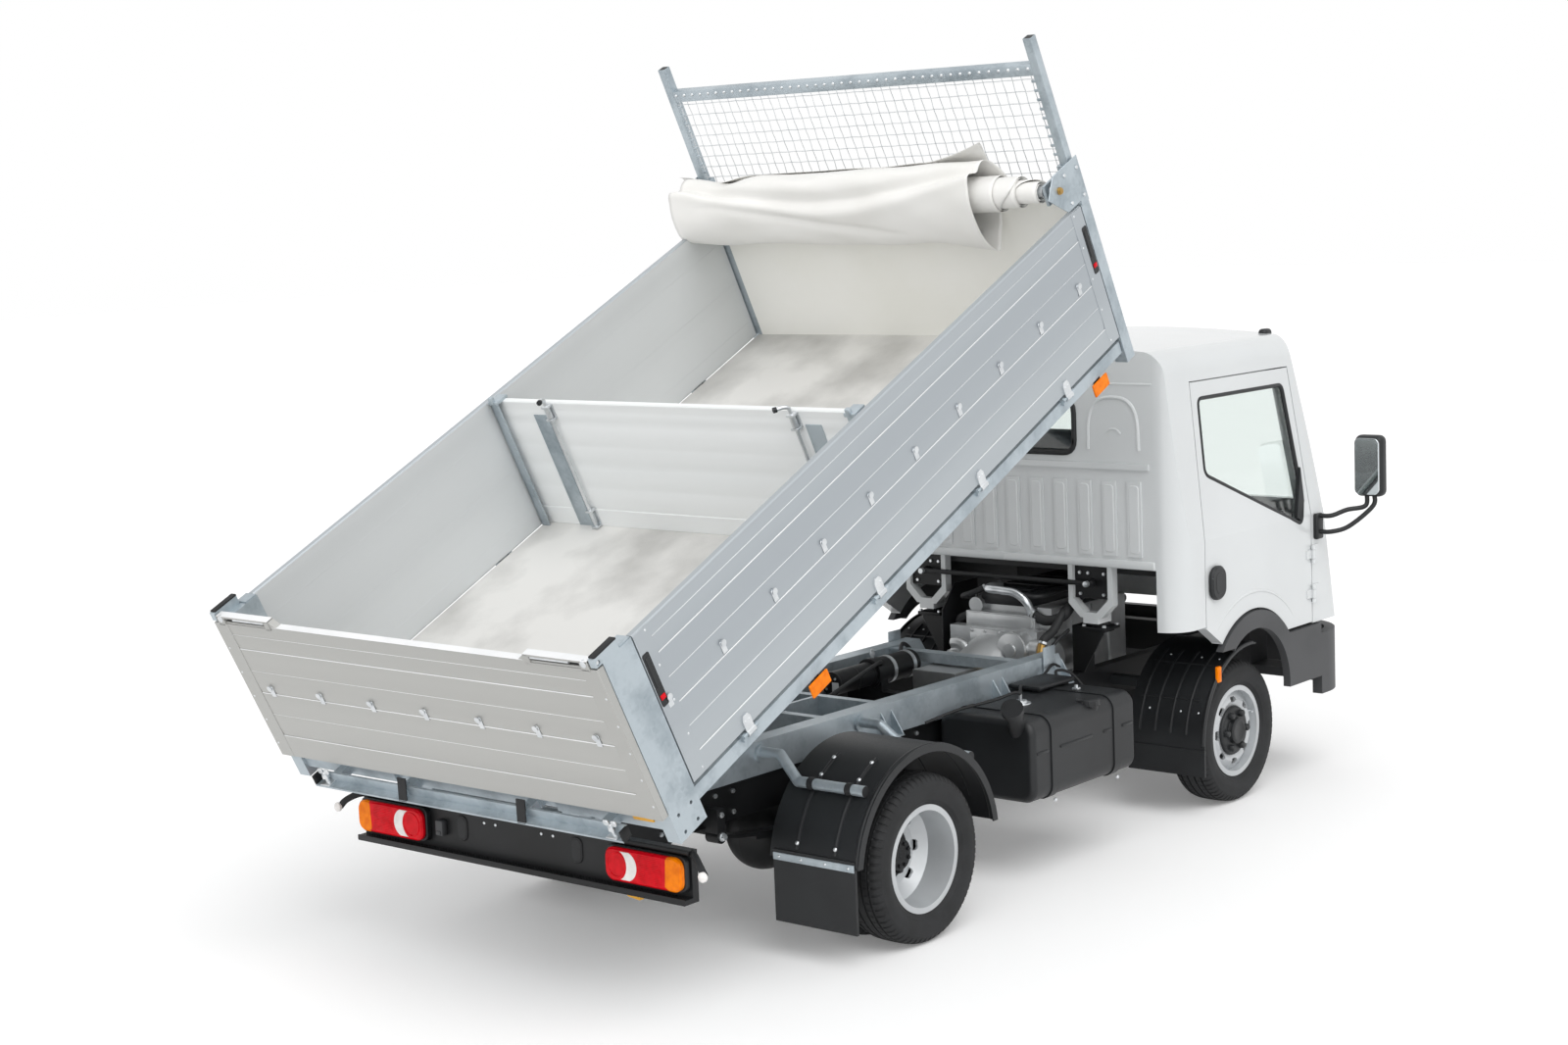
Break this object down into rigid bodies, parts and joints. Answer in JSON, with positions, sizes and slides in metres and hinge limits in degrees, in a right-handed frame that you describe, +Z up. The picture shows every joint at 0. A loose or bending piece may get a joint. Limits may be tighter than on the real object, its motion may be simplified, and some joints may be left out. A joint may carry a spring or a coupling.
{
  "type": "dump truck",
  "caption": "Light cab-over dump truck with a raised drop-side tipping bed, partition, mesh headguard, tarp roll, twin rear wheels, opening doors and a tilting cab.",
  "frame": {"origin": "on the ground below the middle of the truck's bounding box, bed raised as in the picture", "axes": "+X forward, +Y to the truck's left, +Z up"},
  "size_m": [5.2181, 2.41, 3.3928],
  "materials": {
    "black_paint": "satin",
    "galvanised": "matte",
    "alloy_plank": "satin",
    "white_paint": "gloss",
    "grey_plastic": "matte",
    "black_plastic": "matte",
    "cast_alloy": "matte",
    "rim_silver": "satin",
    "tyre": "matte",
    "glass": "gloss",
    "lamp_red": "gloss",
    "lamp_clear": "gloss",
    "seat_cloth": "matte",
    "board_paint": "satin",
    "floor_steel": "satin",
    "tarp": "satin",
    "chrome_steel": "gloss",
    "exhaust_steel": "matte"
  },
  "bodies": {
    "chassis": {"frame_rails": "black_paint", "frame_crossmembers": "black_paint", "subframe_rails": "galvanised", "subframe_crossmembers": "galvanised", "rear_axle": "black_paint", "leaf_springs": "black_paint", "front_axle": "black_paint", "engine": "cast_alloy", "exhaust": "exhaust_steel", "fuel_tank": "black_plastic", "hydraulic_unit": "black_paint", "rear_mudguards": "black_plastic", "mudguard_stays": "galvanised", "rear_bumper": "black_paint", "tail_lamps": "lamp_red", "front_mudguards": "black_plastic", "front_bumper": "grey_plastic", "cab_mounts": "black_paint"},
    "cab": {"cab_back": "white_paint", "cab_locks": "black_paint", "cab_roof": "white_paint", "cab_front": "white_paint", "cab_floor": "white_paint", "cab_glass": "glass", "headlamps": "lamp_clear", "dashboard": "grey_plastic", "seats": "seat_cloth", "mirrors": "black_plastic", "cab_trim": "grey_plastic"},
    "left_door": {"door_left": "white_paint", "door_glass_left": "glass"},
    "right_door": {"door_right": "white_paint", "door_glass_right": "glass"},
    "left_knuckle": {"knuckle_left": "black_paint"},
    "right_knuckle": {"knuckle_right": "black_paint"},
    "left_front_wheel": {"rim_front_left": "rim_silver", "tyre_front_left": "tyre"},
    "right_front_wheel": {"rim_front_right": "rim_silver", "tyre_front_right": "tyre"},
    "left_rear_wheels": {"rims_rear_left": "rim_silver", "tyres_rear_left": "tyre"},
    "right_rear_wheels": {"rims_rear_right": "rim_silver", "tyres_rear_right": "tyre"},
    "bed": {"bed_floor": "floor_steel", "bed_beams": "galvanised", "bed_crossmembers": "galvanised", "bed_posts": "galvanised", "headboard": "board_paint", "mesh_guard": "galvanised", "tarp_roll": "tarp", "partition": "alloy_plank"},
    "gate": {"tailgate": "alloy_plank"},
    "left_side": {"side_left": "alloy_plank"},
    "right_side": {"side_right": "alloy_plank"},
    "barrel": {"lift_barrel": "black_paint"},
    "stage_1": {"lift_stage_1": "chrome_steel"},
    "stage_2": {"lift_stage_2": "chrome_steel"},
    "stage_3": {"lift_stage_3": "chrome_steel"},
    "stage_4": {"lift_stage_4": "chrome_steel"}
  },
  "joints": [
    {"name": "bed_tip", "type": "hinge", "parent": "chassis", "child": "bed", "pos_m": [-2.121, 0, 0.68], "axis": [0, -1, 0], "range_deg": [-26, 20]},
    {"name": "gate_swing", "type": "hinge", "parent": "bed", "child": "gate", "pos_m": [-2.58602, 0, 1.37109], "axis": [0, 1, 0], "range_deg": [0, 75]},
    {"name": "side_left_drop", "type": "hinge", "parent": "bed", "child": "left_side", "pos_m": [-0.94729, 0.992, 1.46719], "axis": [-0.8988, 0, -0.4384], "range_deg": [0, 180]},
    {"name": "side_right_drop", "type": "hinge", "parent": "bed", "child": "right_side", "pos_m": [-0.94729, -0.992, 1.46719], "axis": [0.8988, 0, 0.4384], "range_deg": [0, 180]},
    {"name": "cab_tilt", "type": "hinge", "parent": "chassis", "child": "cab", "pos_m": [2.544, 0, 0.712], "axis": [0, 1, 0], "range_deg": [0, 45]},
    {"name": "door_left_open", "type": "hinge", "parent": "cab", "child": "left_door", "pos_m": [2.183, 0.937, 1.02], "axis": [0, 0, -1], "range_deg": [0, 70]},
    {"name": "door_right_open", "type": "hinge", "parent": "cab", "child": "right_door", "pos_m": [2.183, -0.937, 1.02], "axis": [0, 0, 1], "range_deg": [0, 70]},
    {"name": "steer_left", "type": "hinge", "parent": "chassis", "child": "left_knuckle", "pos_m": [1.629, 0.645, 0.325], "axis": [0, 0, 1], "range_deg": [-35, 35]},
    {"name": "steer_right", "type": "hinge", "parent": "chassis", "child": "right_knuckle", "pos_m": [1.629, -0.645, 0.325], "axis": [0, 0, 1], "range_deg": [-35, 35]},
    {"name": "wheel_front_left_spin", "type": "hinge", "parent": "left_knuckle", "child": "left_front_wheel", "pos_m": [1.629, 0.76, 0.325], "axis": [0, 1, 0], "continuous": true},
    {"name": "wheel_front_right_spin", "type": "hinge", "parent": "right_knuckle", "child": "right_front_wheel", "pos_m": [1.629, -0.76, 0.325], "axis": [0, 1, 0], "continuous": true},
    {"name": "wheels_rear_left_spin", "type": "hinge", "parent": "chassis", "child": "left_rear_wheels", "pos_m": [-0.871, 0.7665, 0.325], "axis": [0, 1, 0], "continuous": true},
    {"name": "wheels_rear_right_spin", "type": "hinge", "parent": "chassis", "child": "right_rear_wheels", "pos_m": [-0.871, -0.7665, 0.325], "axis": [0, 1, 0], "continuous": true},
    {"name": "barrel_swing", "type": "hinge", "parent": "chassis", "child": "barrel", "pos_m": [-0.451, 0.13, 0.62], "axis": [0, -1, 0], "range_deg": [-13.4, 10.4]},
    {"name": "stage_1_slide", "type": "slide", "parent": "barrel", "child": "stage_1", "axis": [-0.2346, 0, 0.9721], "range_m": [-0.184, 0.142]},
    {"name": "stage_2_slide", "type": "slide", "parent": "stage_1", "child": "stage_2", "axis": [-0.2346, 0, 0.9721], "range_m": [-0.184, 0.142]},
    {"name": "stage_3_slide", "type": "slide", "parent": "stage_2", "child": "stage_3", "axis": [-0.2346, 0, 0.9721], "range_m": [-0.184, 0.142]},
    {"name": "stage_4_slide", "type": "slide", "parent": "stage_3", "child": "stage_4", "axis": [-0.2346, 0, 0.9721], "range_m": [-0.184, 0.142]}
  ],
  "couplings": [
    {"joint": "steer_right", "follows": "steer_left", "ratio": 1},
    {"joint": "barrel_swing", "follows": "bed_tip", "ratio": 0.505},
    {"joint": "stage_1_slide", "follows": "bed_tip", "m_per_rad": 0.403},
    {"joint": "stage_2_slide", "follows": "bed_tip", "m_per_rad": 0.403},
    {"joint": "stage_3_slide", "follows": "bed_tip", "m_per_rad": 0.403},
    {"joint": "stage_4_slide", "follows": "bed_tip", "m_per_rad": 0.403}
  ]
}
